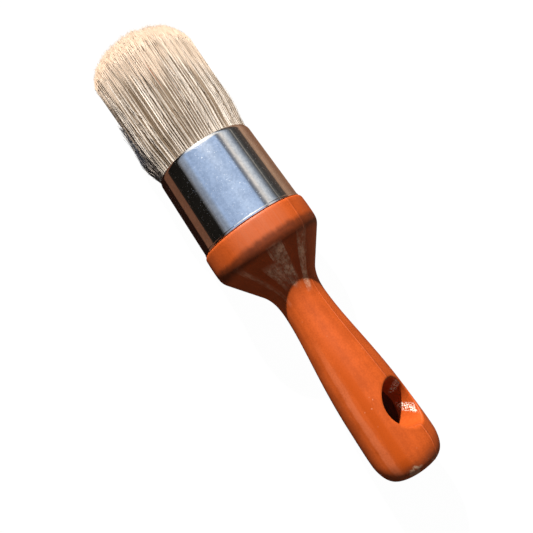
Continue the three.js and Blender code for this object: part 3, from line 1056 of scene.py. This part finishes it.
def bristle_depth_shade():
    """Packed bristle seen between the outer hairs, painted dark as shade in the depth of the bundle: dark
    streaks that run along the brush, paler towards the crown.
    """
    material, n, shader = new_material("bristle_depth_shade")
    where = n.place()
    streaks = n.noise(n.stretched(where, (40, 1700, 1700)), 1, detail=4)
    # Painted shade: the mass is dark, as the depth of the bundle would be in shade.
    body = n.mix(n.smooth(streaks, 0.3, 0.7), (0.16, 0.115, 0.075), (0.42, 0.33, 0.235))
    along = n.split(where)["X"]
    colour = n.mix(n.smooth(along, TIP_X + 26 * MM, TIP_X + 12 * MM), body, (0.50, 0.41, 0.31))
    set_surface(n, shader, colour, 0.8, streaks, 0.8, 0.3 * MM)
    return material


def cast_resin():
    """Dark amber casting resin with small bubbles."""
    material, n, shader = new_material("cast_resin")
    where = n.place()
    cloud = n.noise(where, 240, detail=4)
    bubbles = n.smooth(n.noise(where, 1400, detail=1), 0.68, 0.74)
    colour = n.mix(cloud, (0.10, 0.055, 0.022), (0.22, 0.13, 0.06))
    colour = n.mix(bubbles, colour, (0.34, 0.24, 0.14))
    set_surface(n, shader, colour, n.plus(0.2, n.times(bubbles, 0.4)), bubbles, 0.5, 0.1 * MM)
    return material


def peg_wood():
    """Plain turned softwood, its grain along the peg."""
    material, n, shader = new_material("peg_wood")
    where = n.place()
    grain = n.noise(n.stretched(where, (60, 900, 900)), 1, detail=5, distortion=0.6)
    colour = n.mix(n.smooth(grain, 0.35, 0.65), (0.36, 0.20, 0.10), (0.62, 0.42, 0.24))
    set_surface(n, shader, colour, n.plus(0.6, n.times(grain, 0.25)), grain, 0.4, 0.1 * MM)
    return material


# ---------------- camera, light and floor

FOCAL = 41.538  # millimetres on the sensor below
SENSOR = 36
AIM = Vector((COLLAR_X + 16 * MM, 0, AXIS_Z))
DISTANCE = 0.250
TILT = math.radians(5.8)  # the handle's end is the nearer one
SIDE_STEP = 4.47 * MM  # the brush's axis is this far right of the picture's middle, before the roll
ROLL = math.radians(55.717)  # slope of the brush's axis in the picture, below horizontal


def make_camera():
    """Looks down on the brush, rolled so that it lies corner to corner."""
    back = Vector((math.sin(TILT), 0, math.cos(TILT)))
    along = Vector((math.cos(TILT), 0, -math.sin(TILT)))
    across = Vector((0, 1, 0))
    right = math.cos(ROLL) * along + math.sin(ROLL) * across
    up = -math.sin(ROLL) * along + math.cos(ROLL) * across
    place = AIM + back * DISTANCE - across * SIDE_STEP
    camera = link_object("camera", bpy.data.cameras.new("camera"))
    camera.data.lens = FOCAL
    camera.data.sensor_width = SENSOR
    camera.data.clip_start = 0.01
    camera.data.clip_end = 20
    camera.matrix_world = Matrix.Translation(place) @ Matrix((right, up, back)).transposed().to_4x4()
    bpy.context.scene.camera = camera


KEY_DIRECTION = Vector((-0.81, 0.12, 0.575))  # from the brush to the light
KEY_STRENGTH = 9.2
KEY_WIDTH = math.radians(1.2)  # small, so the shadows on the neck and in the hanging hole are crisp
KEY_COLOUR = (1, 0.965, 0.91)


def make_key():
    """One sun-like key from the bristle end, above and a little to the right."""
    sun = bpy.data.lights.new("key", "SUN")
    sun.energy = KEY_STRENGTH
    sun.angle = KEY_WIDTH
    sun.color = KEY_COLOUR
    lamp = link_object("key", sun)
    lamp.rotation_mode = "QUATERNION"
    lamp.rotation_quaternion = KEY_DIRECTION.to_track_quat("Z", "Y")


# What polished steel sees round the brush: degrees from overhead, towards +Y, and colour.
STUDIO_RING = [
    (-180, (0.02, 0.014, 0.010)),
    (-92, (0.012, 0.010, 0.008)),
    (-60, (0.014, 0.012, 0.010)),
    (-55, (0.20, 0.20, 0.21)),
    (-51, (0.30, 0.33, 0.40)),
    (-42, (0.36, 0.42, 0.53)),
    (-35, (0.48, 0.63, 0.92)),
    (-27, (0.45, 0.59, 0.86)),
    (0, (0.58, 0.74, 1.04)),
    (14, (0.67, 0.83, 1.12)),
    (41, (0.54, 0.70, 1.00)),
    (46, (0.20, 0.24, 0.32)),
    (50, (0.34, 0.34, 0.36)),
    (56, (1.02, 0.95, 0.89)),
    (65, (0.82, 0.86, 0.92)),
    (73, (0.38, 0.43, 0.51)),
    (81, (0.12, 0.12, 0.12)),
    (83, (0.10, 0.10, 0.10)),
    (84, (0.85, 0.76, 0.66)),
    (85, (0.10, 0.10, 0.095)),
    (90, (0.10, 0.095, 0.09)),
    (180, (0.10, 0.08, 0.07)),
]
HANDLE_END_DIM = 0.3  # how much of the ring's brightness is left towards the handle's end

# What reflections see of the floor: metres to the +Y side, and colour. The near-black band just to the -Y
# side of the brush is a painted shadow of the brush.
GROUND_REACH = 0.4
GROUND_BANDS_AND_SHADOW = [
    (-0.400, (0.010, 0.008, 0.007)),
    (-0.330, (0.105, 0.045, 0.027)),
    (-0.080, (0.115, 0.050, 0.030)),
    # Painted shadow of the brush on the floor, seen only in reflections.
    (-0.076, (0.010, 0.004, 0.003)),
    (-0.002, (0.010, 0.004, 0.003)),
    (0.000, (0.15, 0.078, 0.048)),
    (0.050, (0.17, 0.088, 0.055)),
    (0.075, (0.26, 0.155, 0.105)),
    (0.088, (0.26, 0.155, 0.105)),
    (0.092, (0.42, 0.29, 0.21)),
    (0.096, (0.26, 0.155, 0.105)),
    (0.120, (0.27, 0.165, 0.110)),
    (0.138, (0.060, 0.046, 0.040)),
    (0.400, (0.040, 0.037, 0.036)),
]


def make_world():
    """A ring of bright and dark walls for reflections, a dim fill for matt surfaces, a white backdrop."""
    world = bpy.data.worlds.new("studio")
    world.use_nodes = True
    bpy.context.scene.world = world
    world.node_tree.nodes.clear()
    n = Nodes(world.node_tree)
    direction = n.add("TexCoord").outputs["Generated"]
    x, y, z = n.split(direction)
    degrees = n.times(n.math("ARCTAN2", y, z), 180 / math.pi)
    ring = n.ramp(degrees, -180, 180, STUDIO_RING)
    toward_key = n.add("VectorMath", {0: direction, 1: KEY_DIRECTION.normalized()}, operation="DOT_PRODUCT")
    glow = n.smooth(toward_key.outputs["Value"], 0.80, 0.98)
    walls = n.mix(glow, ring, (1.9, 1.8, 1.65))
    mirror = n.add("Background", {"Color": walls, "Strength": n.smooth(x, 0.3, 0.8, 1, HANDLE_END_DIM)})
    fill = n.add("Background", {"Color": (1, 0.96, 0.92, 1), "Strength": 0.13})
    paper = n.add("Background", {"Color": (1, 1, 1, 1), "Strength": 1})
    path = n.add("LightPath").outputs
    seen = n.choose(path["Is Camera Ray"], n.choose(path["Is Glossy Ray"], fill, mirror), paper)
    n.add("OutputWorld", {"Surface": seen.outputs[0]})


FLOOR_REACH = 3  # from the middle to each side


def make_floor():
    """Near-white floor with a barely seen shadow, banded in reflections, a painted shadow of the brush
    among the bands, and tan to bounced light.
    """
    corners = [(x * FLOOR_REACH, y * FLOOR_REACH, 0) for x, y in ((-1, -1), (1, -1), (1, 1), (-1, 1))]
    floor = make_mesh("floor", corners, [(0, 1, 2, 3)], smooth=False)
    material = bpy.data.materials.new("pale_floor")
    material.use_nodes = True
    material.node_tree.nodes.clear()
    n = Nodes(material.node_tree)
    bands = n.ramp(n.split(n.place())["Y"], -GROUND_REACH, GROUND_REACH, GROUND_BANDS_AND_SHADOW)
    mirror = n.add("BsdfDiffuse", {"Color": bands})
    bounce = n.add("BsdfDiffuse", {"Color": (0.20, 0.155, 0.12, 1)})
    matt = n.add("BsdfDiffuse", {"Color": (0.02, 0.02, 0.02, 1)})
    glow = n.add("Emission", {"Color": (1, 1, 1, 1), "Strength": 0.985})
    paper = n.add("AddShader", {0: matt.outputs[0], 1: glow.outputs[0]})
    path = n.add("LightPath").outputs
    seen = n.choose(path["Is Camera Ray"], n.choose(path["Is Glossy Ray"], bounce, mirror), paper)
    n.add("OutputMaterial", {"Surface": seen.outputs[0]})
    floor.data.materials.append(material)


# ---------------- assembly


def place_piece(piece, material, slot, *nodes):
    """Gives a piece its material and its place in the frame."""
    piece.data.materials.clear()
    piece.data.materials.append(material)
    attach(piece, "root")
    if nodes:
        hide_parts(*nodes)


make_camera()
make_key()
make_world()
make_floor()

place_piece(build_handle(), handle_plastic(), "handle_plastic", "handle")
place_piece(build_ferrule(), ferrule_steel(), "ferrule_steel", "ferrule")

hair = bristle_hair()
outer_locks = sorted(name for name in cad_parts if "lock_outer" in name)
middle_locks = sorted(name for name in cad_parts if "lock_middle" in name)
for number, layers in enumerate(build_arcs()):
    stands_for = outer_locks[number * 3 : number * 3 + 3], middle_locks[number * 2 : number * 2 + 2], ()
    for piece, nodes in zip(layers, stands_for):
        place_piece(piece, hair, "bristle", *nodes)
place_piece(build_crown(), hair, "bristle", "bristle_core")
place_piece(build_flags(), hair, "bristle")
place_piece(build_strays(), hair, "bristle")
place_piece(build_tuft(), hair, "bristle")
place_piece(build_under_bristle(), bristle_depth_shade(), "bristle")

for name, material in (("resin_root_plug", cast_resin()), ("spacer_peg", peg_wood())):
    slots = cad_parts[name].data.materials
    slots.clear()
    slots.append(material)

bpy.context.scene.view_settings.view_transform = "Standard"
